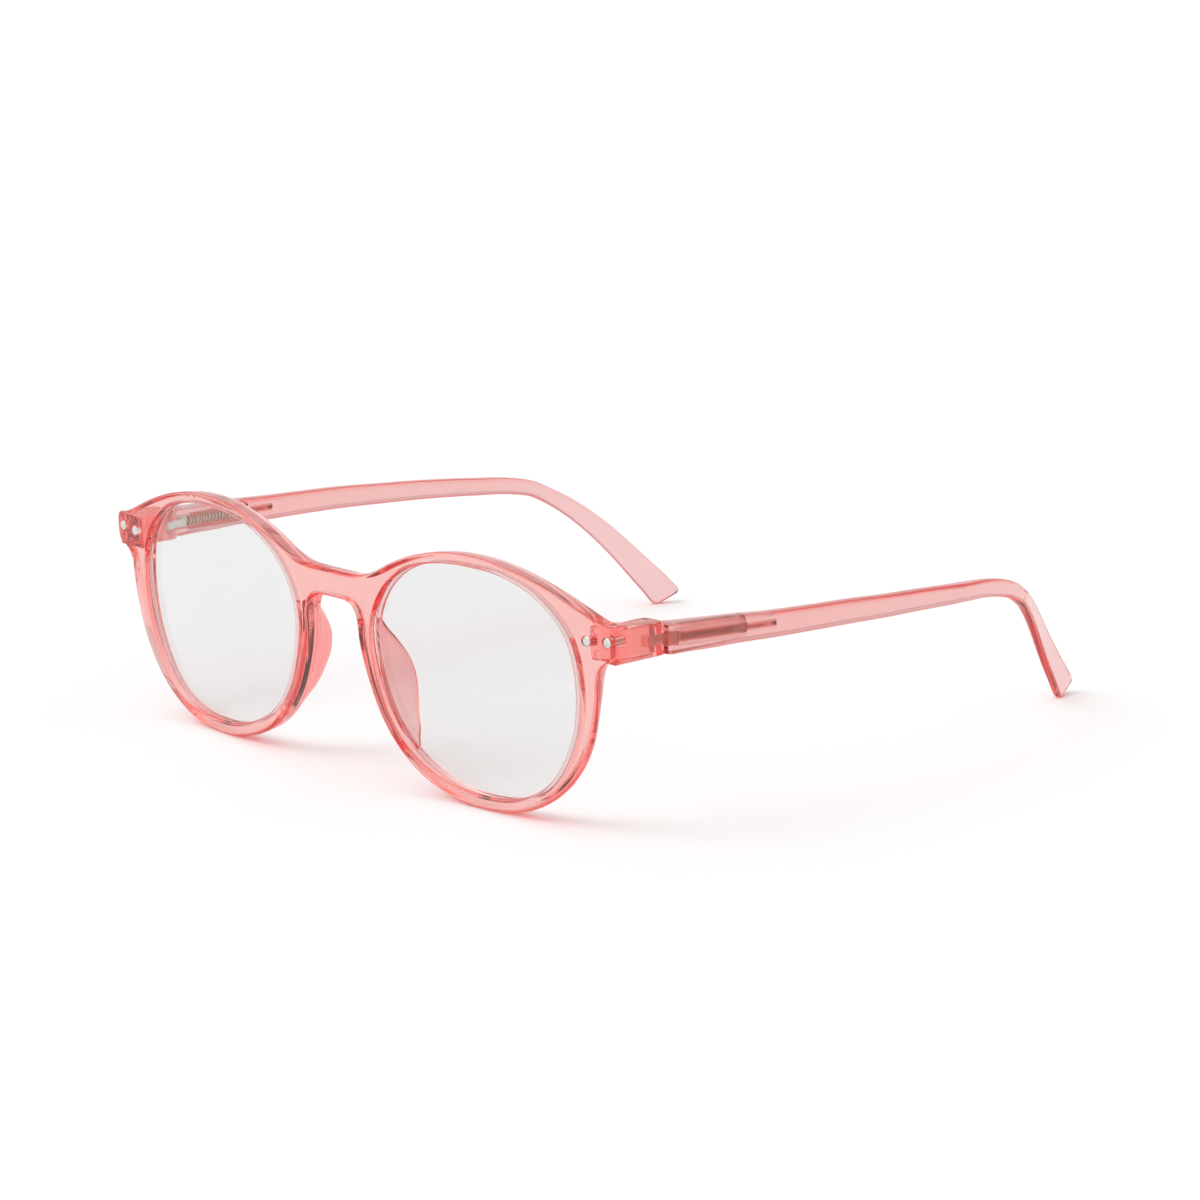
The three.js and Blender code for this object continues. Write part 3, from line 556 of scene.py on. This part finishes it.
def keep_inside(ob):
    """Hold the fine surface inside the dimensioned box."""
    lo, hi = (np.array(q, float) for q in size["after_load"])
    co = np.empty(len(ob.data.vertices) * 3, np.float32)
    ob.data.vertices.foreach_get("co", co)
    co = np.clip(co.reshape(-1, 3), lo, hi).astype(np.float32)
    ob.data.vertices.foreach_set("co", co.ravel())
    ob.data.update()


keep_inside(front)


# -------------------------------------------------------------------- lenses
def lens_mesh():
    n = len(opening)
    outer = np.array(opening) + loop_normals(opening) * LENS_BITE
    cx, cz = outer.mean(0)
    K = 14
    verts, faces = [], []
    for d in (LENS_SETBACK, LENS_SETBACK + LENS_EDGE):
        for k in range(K):
            f = 1 - k / K
            for p in outer:
                x, z = cx + (p[0] - cx) * f, cz + (p[1] - cz) * f
                verts.append((x, front_y(x, z) + d - LENS_BULGE * (1 - f * f), z))
        verts.append((cx, front_y(cx, cz) + d - LENS_BULGE, cz))
    per = K * n + 1
    for s in (0, 1):
        B = s * per
        for k in range(K - 1):
            for i in range(n):
                j = (i + 1) % n
                q = (B + k * n + i, B + k * n + j, B + (k + 1) * n + j, B + (k + 1) * n + i)
                faces.append(q if s == 0 else tuple(reversed(q)))
        for i in range(n):
            j = (i + 1) % n
            t = (B + (K - 1) * n + i, B + (K - 1) * n + j, B + K * n)
            faces.append(t if s == 0 else tuple(reversed(t)))
    for i in range(n):
        j = (i + 1) % n
        faces.append((i, per + i, per + j, j))
    return verts, faces


# ------------------------------------------------------------------- temples
def temple_mesh():
    rows = spline(TEMPLE, 1.3)
    st = []
    for y, xo, zm, h, t in rows:
        st.append([np.array([xo - t / 2, y, zm]), h, t])
    last = st[-1]
    d = unit(last[0] - st[-3][0])
    n_end = 8
    for i in range(1, n_end + 1):
        a = math.sin(i / n_end * math.pi / 2 * 0.87)
        k = 1 - math.sqrt(max(0, 1 - a * a))
        st.append([last[0] + d * TIP_R * a, last[1] - 2 * TIP_R * k, last[2] * (1 - 0.35 * k), d])
    rings = []
    for i, s in enumerate(st):
        a, b = st[max(0, i - 1)][0], st[min(len(st) - 1, i + 1)][0]
        T = s[3] if len(s) > 3 else unit(b - a)
        if i == 0:
            T = np.array([0.0, 1.0, 0.0])
        U0 = unit(np.cross(T, [0, 0, 1]))
        W0 = unit(np.cross(U0, T))
        tw = math.radians(TIP_TWIST) * min(1, max(0, (s[0][1] - 106) / 33))
        U, W = U0 * math.cos(tw) + W0 * math.sin(tw), W0 * math.cos(tw) - U0 * math.sin(tw)
        hu, hw = s[2] / 2, s[1] / 2
        # the corner radius grows from the hinge end toward the tip
        k = min(1.0, i / 12)
        c = min(0.3 + 0.75 * k, hw * 0.7, hu * 0.85)
        if i == 0:
            hu, hw = hu - 0.15, hw - 0.15
        prof = []
        q = 7
        slant = TIP_SLANT * min(1, max(0, (s[0][1] - 128) / 10.6)) ** 2
        for cu, cw, a0 in ((hu - c, hw - c, 0), (-hu + c, hw - c, 90), (-hu + c, -hw + c, 180), (hu - c, -hw + c, 270)):
            for m in range(q + 1):
                ang = math.radians(a0 + 90 * m / q)
                prof.append((cu + c * math.cos(ang), cw + c * math.sin(ang)))
        rings.append([tuple(s[0] + U * u + W * w_ + T * slant * (w_ + s[1] / 2)) for u, w_ in prof])
    return loft(rings)


def temple(mir):
    ob = make_object("temple", *temple_mesh(), mirror=mir)

    def box(u0, u1, s0, s1, hw):
        return prism([(u0, s0), (u1, s0), (u1, s1), (u0, s1)], -hw, hw, lambda u, s, ww: at(u, ww, s))

    # the pocket floor is rounded to the spring
    pocket = []
    r = SPRING_R + WIRE_R + 0.2
    top = POCKET_H / 2
    poly = [(-3, -top), (ROD_U, -top)]
    for i in range(13):
        t = -math.pi / 2 + i / 12 * math.pi
        poly.append((ROD_U + r * math.cos(t), top * math.sin(t)))
    poly += [(ROD_U, top), (-3, top)]
    seen, clean = set(), []
    for p in poly:
        k = (round(p[0], 5), round(p[1], 5))
        if k not in seen:
            seen.add(k)
            clean.append(p)
    cuts = [
        prism(clean, POCKET_S0, POCKET_S1, lambda u, w_, s: at(u, w_, s)),
        box(-3, ROD_U + NECK_W / 2 + 0.2, -1, POCKET_S0 + 0.5, NECK_H / 2 + 0.2),
        rod(BORE_R - 0.1, POCKET_S1 - 0.5, BORE_S1, 24, rod_at),
    ]
    for mesh in cuts:
        boolean(ob, make_object("t", *mesh, mirror=mir), "DIFFERENCE")
    finish_mesh(ob, 34)
    rows = np.array(TEMPLE)

    # faces of the spring pocket: frosted, and given painted shade in the plastic material
    def matt_and_shade(x, y, z):
        xo, zm, h, t = (float(np.interp(y, rows[:, 0], rows[:, k])) for k in (1, 2, 3, 4))
        return 15.32 < y < 42 and abs(z - zm) < h / 2 - 0.35 and xo - t - 0.4 < x < xo - 0.3 and abs(x - (xo - t)) > 0.12

    mark(ob, matt_and_shade)
    keep_inside(ob)
    return ob


# --------------------------------------------------------------- metal pieces
def link(mir):
    ob = make_object("link", *rod(EYE_R, EYE_Z - EYE_T / 2, EYE_Z + EYE_T / 2, 40, upright(AXIS_X, AXIS_Y)), mirror=mir)
    web = prism([(-0.7, 0), (0.75, 0), (0.75, 2.2), (1.6, 3.0), (1.6, NECK_S1), (0.3, NECK_S1), (-0.45, 3.2), (-0.7, 2.2)],
                -EYE_T / 2, EYE_T / 2, lambda u, s, w_: at(u, w_, s))
    neck = prism([(ROD_U - NECK_W / 2, 2.9), (ROD_U + NECK_W / 2, 2.9), (ROD_U + NECK_W / 2, NECK_S1), (ROD_U - NECK_W / 2, NECK_S1)],
                 -NECK_H / 2, NECK_H / 2, lambda u, s, w_: at(u, w_, s))
    prof = [(0, NECK_S1 - 0.6), (ROD_R, NECK_S1 - 0.6), (ROD_R, NUT_S0 - 0.3)]
    pitch, s = 0.45, NUT_S0 - 0.3
    while s + pitch < TAIL_S1 - 0.4:
        prof += [(0.43, s + pitch * 0.45), (0.43, s + pitch * 0.55), (ROD_R, s + pitch * 0.95), (ROD_R, s + pitch)]
        s += pitch
    prof += [(0.35, TAIL_S1), (0, TAIL_S1)]
    for mesh in (web, neck, turned(prof, 24, rod_at)):
        boolean(ob, make_object("t", *mesh, mirror=mir), "UNION")
    boolean(ob, make_object("t", *rod(PIN_HOLE_R, EYE_Z - 2, EYE_Z + 2, 32, upright(AXIS_X, AXIS_Y)), mirror=mir), "DIFFERENCE")
    bev = ob.modifiers.new("bevel", "BEVEL")
    bev.width = 0.00006
    bev.segments = 2
    bev.limit_method = "ANGLE"
    bev.angle_limit = math.radians(50)
    finish_mesh(ob, 40)
    return ob


def spring(mir):
    per, sides = ((28, 12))
    steps = SPRING_TURNS * per
    s0, s1 = SPRING_S0 + WIRE_R, SPRING_S1 - WIRE_R

    def pt(t):
        a = t * SPRING_TURNS * math.pi * 2
        # the end coils lie closed
        e = 0.05
        if t < e:
            z = t / e * 0.35 * e
        elif t > 1 - e:
            z = 1 - (1 - t) / e * 0.35 * e
        else:
            z = 0.35 * e + (t - e) / (1 - 2 * e) * (1 - 0.7 * e)
        return np.array([SPRING_R * math.cos(a), SPRING_R * math.sin(a), s0 + (s1 - s0) * z])

    rings = []
    for i in range(steps + 1):
        t = i / steps
        p = pt(t)
        tan = unit(pt(min(1, t + 1e-4)) - pt(max(0, t - 1e-4)))
        rad = unit([p[0], p[1], 0])
        up = unit(np.cross(tan, rad))
        rad = unit(np.cross(up, tan))
        ring = []
        for k in range(sides):
            q = 2 * math.pi * k / sides
            v = p + rad * WIRE_R * math.cos(q) + up * WIRE_R * math.sin(q)
            ring.append(tuple(rod_at(*v)))
        rings.append(ring)
    ob = make_object("spring", *loft(rings), mirror=mir)
    finish_mesh(ob, 50, weighted=False)
    return ob


def nut(mir):
    hexa = [(NUT_R * math.cos(i * math.pi / 3), NUT_R * math.sin(i * math.pi / 3)) for i in range(6)]
    ob = make_object("nut", *prism(hexa, NUT_S0, NUT_S1, rod_at), mirror=mir)
    boolean(ob, make_object("t", *rod(0.74, NUT_S0 - 1, NUT_S1 + 1, 28, rod_at), mirror=mir), "DIFFERENCE")
    bev = ob.modifiers.new("bevel", "BEVEL")
    bev.width = 0.0001
    bev.segments = 2
    bev.limit_method = "ANGLE"
    bev.angle_limit = math.radians(40)
    finish_mesh(ob, 40)
    return ob


def screw(mir):
    ob = make_object("screw", *turned(
        [(0, 32.0), (PIN_R - 0.1, 32.0), (PIN_R, 32.15), (PIN_R, 36.5), (0.97, 36.6), (1.0, 36.66), (1.0, 37.1), (0.96, 37.18), (0.85, 37.25), (0, 37.25)],
        36, upright(AXIS_X, AXIS_Y)), mirror=mir)
    slot = prism([(AXIS_X - 1.5, AXIS_Y - 0.14), (AXIS_X + 1.5, AXIS_Y - 0.14), (AXIS_X + 1.5, AXIS_Y + 0.14), (AXIS_X - 1.5, AXIS_Y + 0.14)],
                 36.95, 38, lambda a, b, c: (a, b, c))
    boolean(ob, make_object("t", *slot, mirror=mir), "DIFFERENCE")
    finish_mesh(ob, 36)
    return ob


def rivet(rx, rz, mir):
    ry = front_y(rx, rz)
    prof = [(0, ry - 0.12)]
    for i in range(1, 8):
        t = i / 7 * math.pi / 2
        prof.append((RIVET_R * math.sin(t), ry - 0.12 + 0.24 * (1 - math.cos(t))))
    prof += [(RIVET_R, ry + RIVET_LEN - 0.1), (RIVET_R - 0.1, ry + RIVET_LEN), (0, ry + RIVET_LEN)]
    ob = make_object("rivet", *turned(prof, 36, lambda a, b, s: (rx + a, s, rz - b)), mirror=mir)
    finish_mesh(ob, 40)
    return ob


# ----------------------------------------------------------------- materials
def new_mat(name):
    m = bpy.data.materials.new(name)
    m.use_nodes = True
    nt = m.node_tree
    nt.nodes.clear()
    out = nt.nodes.new("ShaderNodeOutputMaterial")
    p = nt.nodes.new("ShaderNodeBsdfPrincipled")
    nt.links.new(p.outputs[0], out.inputs["Surface"])
    return m, nt, p, out


def noise(nt, scale, detail, coord, rough=0.5, stretch=None):
    if stretch:
        mp = nt.nodes.new("ShaderNodeMapping")
        mp.inputs["Scale"].default_value = stretch
        nt.links.new(coord, mp.inputs["Vector"])
        coord = mp.outputs[0]
    n = nt.nodes.new("ShaderNodeTexNoise")
    n.inputs["Scale"].default_value = scale
    n.inputs["Detail"].default_value = detail
    n.inputs["Roughness"].default_value = rough
    nt.links.new(coord, n.inputs["Vector"])
    return n.outputs["Fac"]


def remap(nt, val, lo, hi, a=0.3, b=0.7):
    r = nt.nodes.new("ShaderNodeMapRange")
    r.inputs["From Min"].default_value = a
    r.inputs["From Max"].default_value = b
    r.inputs["To Min"].default_value = lo
    r.inputs["To Max"].default_value = hi
    nt.links.new(val, r.inputs["Value"])
    return r.outputs["Result"]


def bump(nt, p, height, strength, dist):
    b = nt.nodes.new("ShaderNodeBump")
    b.inputs["Strength"].default_value = strength
    b.inputs["Distance"].default_value = dist
    nt.links.new(height, b.inputs["Height"])
    nt.links.new(b.outputs[0], p.inputs["Normal"])


def plastic(name, pale, density, axis, ramp_stops):
    """Clear coral plastic: pale on its broad faces. Painted light: a deep red painted glow on the moulded edge rounds
    and walls, set by surface direction, stands in for light carried inside the plastic; it is stronger on downward
    faces as painted shade and weak on upward faces where light falls. The spring pocket gets a deeper colour as painted
    shade."""
    m, nt, p, out = new_mat(name)

    def math_(op, a, b=None, clamp=False):
        n_ = nt.nodes.new("ShaderNodeMath")
        n_.operation = op
        n_.use_clamp = clamp
        for i, q in enumerate((a, b)):
            if q is None:
                continue
            if isinstance(q, (int, float)):
                n_.inputs[i].default_value = q
            else:
                nt.links.new(q, n_.inputs[i])
        return n_.outputs[0]

    def mix_(fac, a, b):
        n_ = nt.nodes.new("ShaderNodeMix")
        n_.data_type = "RGBA"
        nt.links.new(fac, n_.inputs[0])
        for i, q in ((6, a), (7, b)):
            if isinstance(q, tuple):
                n_.inputs[i].default_value = (*q, 1)
            else:
                nt.links.new(q, n_.inputs[i])
        return n_.outputs[2]

    # painted light: the object-space surface direction lays a deep red painted glow on the edge rounds and walls, in
    # place of light carried inside the plastic to its edges
    tcn = nt.nodes.new("ShaderNodeTexCoord")
    sep = nt.nodes.new("ShaderNodeSeparateXYZ")
    nt.links.new(tcn.outputs["Normal"], sep.inputs[0])
    edge = math_("ABSOLUTE", sep.outputs[axis])
    ramp = nt.nodes.new("ShaderNodeValToRGB")
    el = ramp.color_ramp.elements
    el[0].position, el[0].color = ramp_stops[0][0], (ramp_stops[0][1],) * 3 + (1,)
    el[1].position, el[1].color = ramp_stops[-1][0], (ramp_stops[-1][1],) * 3 + (1,)
    for pos, val in ramp_stops[1:-1]:
        ramp.color_ramp.elements.new(pos).color = (val, val, val, 1)
    nt.links.new(edge, ramp.inputs[0])
    # painted shade: the red is strongest on downward-facing faces and weak on upward-facing ones, by how the light
    # falls
    low = math_("MULTIPLY_ADD", sep.outputs["Z"], -0.5, True)
    low.node.inputs[2].default_value = 0.62
    painted_light_mask = math_("MULTIPLY", ramp.outputs[0], low, True)
    # painted shade: the frosted pocket and slot faces get a deeper coral colour, in place of the shade inside these
    # recesses
    painted_shade_att = nt.nodes.new("ShaderNodeAttribute")
    painted_shade_att.attribute_name = "matt_and_shade"
    body = mix_(painted_light_mask, pale, (0.96, 0.012, 0.003))
    body = mix_(painted_shade_att.outputs["Fac"], body, (0.94, 0.36, 0.29))
    nt.links.new(body, p.inputs["Base Color"])
    p.inputs["Transmission Weight"].default_value = 1.0
    p.inputs["IOR"].default_value = 1.58
    tc = nt.nodes.new("ShaderNodeTexCoord")
    obj = tc.outputs["Object"]
    # fine polish marks, and faint flow of the moulding
    polish = noise(nt, 900, 3, obj, stretch=(1, 1, 1))
    grain = noise(nt, 2600, 2, obj)
    att = nt.nodes.new("ShaderNodeAttribute")
    att.attribute_name = "matt_and_shade"
    mixr = nt.nodes.new("ShaderNodeMix")
    mixr.data_type = "FLOAT"
    nt.links.new(att.outputs["Fac"], mixr.inputs[0])
    nt.links.new(remap(nt, polish, 0.012, 0.05), mixr.inputs[2])
    nt.links.new(remap(nt, grain, 0.28, 0.5), mixr.inputs[3])
    nt.links.new(mixr.outputs[0], p.inputs["Roughness"])
    flow = noise(nt, 60, 2, obj, stretch=(1.0, 0.35, 1.4))
    bump(nt, p, flow, 0.18, 0.0003)
    v = nt.nodes.new("ShaderNodeVolumeAbsorption")
    v.inputs["Color"].default_value = (0.98, 0.20, 0.10, 1)
    v.inputs["Density"].default_value = density
    nt.links.new(v.outputs[0], out.inputs["Volume"])
    return m


def lens_mat():
    m, nt, p, out = new_mat("lens_clear")
    p.inputs["Base Color"].default_value = (0.83, 0.83, 0.83, 1)
    p.inputs["Transmission Weight"].default_value = 1.0
    p.inputs["IOR"].default_value = 1.50
    tc = nt.nodes.new("ShaderNodeTexCoord")
    n = noise(nt, 400, 3, tc.outputs["Object"])
    nt.links.new(remap(nt, n, 0.0, 0.02), p.inputs["Roughness"])
    # lamps reach what is behind the lens
    lp = nt.nodes.new("ShaderNodeLightPath")
    tr = nt.nodes.new("ShaderNodeBsdfTransparent")
    tr.inputs["Color"].default_value = (0.93, 0.93, 0.93, 1)
    mx = nt.nodes.new("ShaderNodeMixShader")
    nt.links.new(lp.outputs["Is Shadow Ray"], mx.inputs[0])
    nt.links.new(p.outputs[0], mx.inputs[1])
    nt.links.new(tr.outputs[0], mx.inputs[2])
    nt.links.new(mx.outputs[0], out.inputs["Surface"])
    return m


def metal(name, col, rough, scale, stretch, strength, dark=0.7):
    m, nt, p, out = new_mat(name)
    p.inputs["Metallic"].default_value = 1.0
    tc = nt.nodes.new("ShaderNodeTexCoord")
    g = noise(nt, scale, 6, tc.outputs["Object"], 0.6, stretch)
    ramp = nt.nodes.new("ShaderNodeValToRGB")
    ramp.color_ramp.elements[0].position = 0.25
    ramp.color_ramp.elements[0].color = (col[0] * dark, col[1] * dark, col[2] * dark, 1)
    ramp.color_ramp.elements[1].position = 0.75
    ramp.color_ramp.elements[1].color = (*col, 1)
    nt.links.new(g, ramp.inputs[0])
    nt.links.new(ramp.outputs[0], p.inputs["Base Color"])
    nt.links.new(remap(nt, g, rough - 0.08, rough + 0.1), p.inputs["Roughness"])
    bump(nt, p, g, strength, 0.00005)
    return m


M = {
    # the ramp stops set where each plastic gets its painted edge glow
    "front_plastic": plastic("coral_front", (0.95, 0.885, 0.89), 155, "Y", [(0.0, 0.4), (0.2, 0.75), (0.5, 1.0), (0.88, 0.8), (0.97, 0.0)]),
    "temple_plastic": plastic("coral_temple", (0.87, 0.67, 0.67), 125, "Z", [(0.3, 0.0), (0.6, 0.7), (0.85, 1.0), (1.0, 0.45)]),
    "lens": lens_mat(),
    "rivet_metal": metal("rivet_satin", (0.78, 0.80, 0.76), 0.28, 900, (1, 1, 1), 0.3),
    "link_metal": metal("link_satin", (0.80, 0.73, 0.66), 0.35, 800, (1, 0.2, 1), 0.3),
    "spring_steel": metal("spring_wire", (0.80, 0.48, 0.38), 0.34, 1200, (1, 1, 1), 0.3, 0.6),
    "nut_metal": metal("nut_satin", (0.60, 0.55, 0.50), 0.35, 900, (1, 1, 1), 0.3),
    "screw_metal": metal("screw_satin", (0.70, 0.69, 0.67), 0.3, 900, (1, 1, 1), 0.3),
}


def dress(ob, name, slot_name, body, *nodes):
    ob.name = name
    ob.data.name = name
    ob.data.materials.clear()
    ob.data.materials.append(M[slot_name])
    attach(ob, body)
    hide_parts(*nodes)


dress(front, "front_visual", "front_plastic", "front", "front_frame")
for side, mir in (("left", False), ("right", True)):
    o = make_object("lens", *lens_mesh(), mirror=mir)
    finish_mesh(o, 40)
    dress(o, f"lens_{side}_visual", "lens", "front", f"lens_{side}")
    for (rx, rz), where in zip(RIVETS, ("inner", "outer")):
        dress(rivet(rx, rz, mir), f"rivet_{side}_{where}_visual", "rivet_metal", "front", f"rivet_{side}_{where}")
    dress(screw(mir), f"screw_{side}_visual", "screw_metal", "front", f"hinge_screw_{side}")
    dress(temple(mir), f"temple_{side}_visual", "temple_plastic", f"arm_{side}", f"temple_{side}")
    dress(link(mir), f"link_{side}_visual", "link_metal", f"link_{side}", f"hinge_link_{side}")
    dress(nut(mir), f"nut_{side}_visual", "nut_metal", f"link_{side}", f"spring_nut_{side}")
    sp = spring(mir)
    dress(sp, f"spring_{side}_visual", "spring_steel", f"link_{side}", f"hinge_spring_{side}")
    anc = rod_at(0, 0, SPRING_S1)
    anc = (anc - np.array([0, Y_MID, 0])) * 0.001
    if mir:
        anc[0] *= -1
    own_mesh(sp)

# --------------------------------------------------------------- floor, light
bpy.ops.mesh.primitive_plane_add(size=40, location=(0, 0, 0))
floor = bpy.context.object
floor.name = "floor"
fm, fnt, fp, _ = new_mat("floor_white")
fp.inputs["Base Color"].default_value = (0.9, 0.9, 0.9, 1)
fp.inputs["Roughness"].default_value = 0.9
fp.inputs["Specular IOR Level"].default_value = 0.1
floor.data.materials.append(fm)
floor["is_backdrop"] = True

world = bpy.data.worlds.new("studio")
bpy.context.scene.world = world
world.use_nodes = True
wnt = world.node_tree
bg = wnt.nodes["Background"]
bg.inputs[0].default_value = (1, 1, 1, 1)


def lobe(direction, power, strength):
    """A soft patch of studio light in the surround."""
    tc = wnt.nodes.new("ShaderNodeTexCoord")
    dot = wnt.nodes.new("ShaderNodeVectorMath")
    dot.operation = "DOT_PRODUCT"
    wnt.links.new(tc.outputs["Generated"], dot.inputs[0])
    dot.inputs[1].default_value = Vector(direction).normalized()
    vals = []
    for op, arg in (("MAXIMUM", 0.0), ("POWER", power), ("MULTIPLY", strength)):
        m_ = wnt.nodes.new("ShaderNodeMath")
        m_.operation = op
        wnt.links.new(vals[-1] if vals else dot.outputs["Value"], m_.inputs[0])
        m_.inputs[1].default_value = arg
        vals.append(m_.outputs[0])
    return vals[-1]


total = None
for args in (((-0.62, -0.66, 0.75), 2.0, 0.5), ((-0.45, -0.80, 1.0), 24.0, 2.8), ((0, 0, 1), 1.0, 0.05)):
    v_ = lobe(*args)
    add_ = wnt.nodes.new("ShaderNodeMath")
    add_.operation = "ADD"
    wnt.links.new(v_, add_.inputs[0])
    if total is None:
        add_.inputs[1].default_value = 0.79
    else:
        wnt.links.new(total, add_.inputs[1])
    total = add_.outputs[0]
wnt.links.new(total, bg.inputs[1])


def area(name, loc, target, sx, sy, power, color=(1, 1, 1)):
    l = bpy.data.lights.new(name, "AREA")
    l.shape = "RECTANGLE"
    l.size, l.size_y = sx, sy
    l.energy = power
    l.color = color
    ob = bpy.data.objects.new(name, l)
    bpy.context.scene.collection.objects.link(ob)
    ob.location = loc
    ob.rotation_euler = (Vector(target) - Vector(loc)).to_track_quat("-Z", "Y").to_euler()
    ob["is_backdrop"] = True
    return ob



# -------------------------------------------------------------------- camera
AZ, EL, DIST, F_PX, U0, V0 = math.radians(46.757), math.radians(13.103), 0.754782, 4029.42, -98.744, 3.303
target = Vector((0, 0.040 - Y_MID * 0.001, 0.025))
back = Vector((math.sin(AZ) * math.cos(EL), -math.cos(AZ) * math.cos(EL), math.sin(EL)))
cam_data = bpy.data.cameras.new("cam")
cam = bpy.data.objects.new("cam", cam_data)
bpy.context.scene.collection.objects.link(cam)
cam.location = target + back * DIST
# the camera is turned a little off the object, so that it needs no sideways shift
cam.rotation_euler = ((-back).to_track_quat("-Z", "Y") @ Quaternion((0, 1, 0), math.atan(U0 / F_PX))).to_euler()
cam_data.sensor_width = 36
cam_data.lens = 36 * F_PX / 1200
cam_data.shift_y = V0 / 1200
cam_data.clip_start = 0.01
bpy.context.scene.camera = cam
vs = bpy.context.scene.view_settings
vs.view_transform = "Standard"
vs.look = "None"
sc = bpy.context.scene
sc.cycles.max_bounces = 32
sc.cycles.transmission_bounces = 32
sc.cycles.glossy_bounces = 16
sc.cycles.caustics_refractive = True
sc.cycles.caustics_reflective = True
sc.cycles.blur_glossy = 0.2

size["before_finish"] = box_list()
